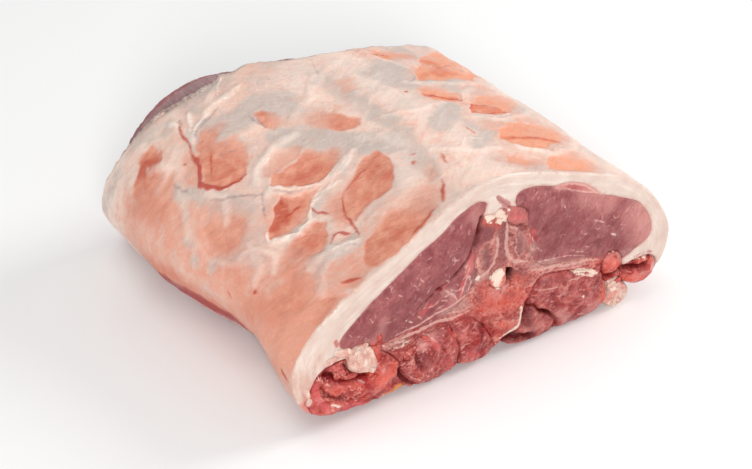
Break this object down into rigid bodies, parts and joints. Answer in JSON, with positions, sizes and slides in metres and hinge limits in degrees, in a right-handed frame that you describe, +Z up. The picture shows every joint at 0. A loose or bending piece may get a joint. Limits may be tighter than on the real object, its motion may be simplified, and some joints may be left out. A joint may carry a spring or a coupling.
{
  "type": "raw saddle of lamb",
  "caption": "Raw lamb saddle joint for roasting: loins, fillets and flanks around a sawn backbone, wrapped over the back in one sheet of fat.",
  "frame": {"origin": "on the ground under the middle of the joint's bounding box", "axes": "+X to the right as the front cut face is looked at, -Y out of the front cut face, +Z up"},
  "size_m": [0.1904, 0.161, 0.0883],
  "materials": {
    "fat": "satin, dry fell with damp patches",
    "soft_fat": "satin, moist",
    "loin": "moist, soft sheen",
    "strip": "moist, soft sheen",
    "bone": "sawn bone, moist, reddish marrow with pale rims",
    "cord": "moist, soft sheen",
    "fillet": "wet",
    "flank": "wet, glossy"
  },
  "bodies": {
    "root": {"fat_cover": "fat", "loin_eye_left": "loin", "loin_eye_right": "loin", "cap_strip": "strip", "multifidus_left": "loin", "multifidus_right": "strip", "backbone": "bone", "spinal_cord": "cord", "fillet_left": "fillet", "fillet_left_inner": "fillet", "fillet_right": "fillet", "fillet_right_inner": "fillet", "flank_left": "flank", "fat_lump_left": "soft_fat", "flank_right_inner": "flank", "flank_right": "flank", "fat_lump_right": "soft_fat"}
  },
  "joints": []
}
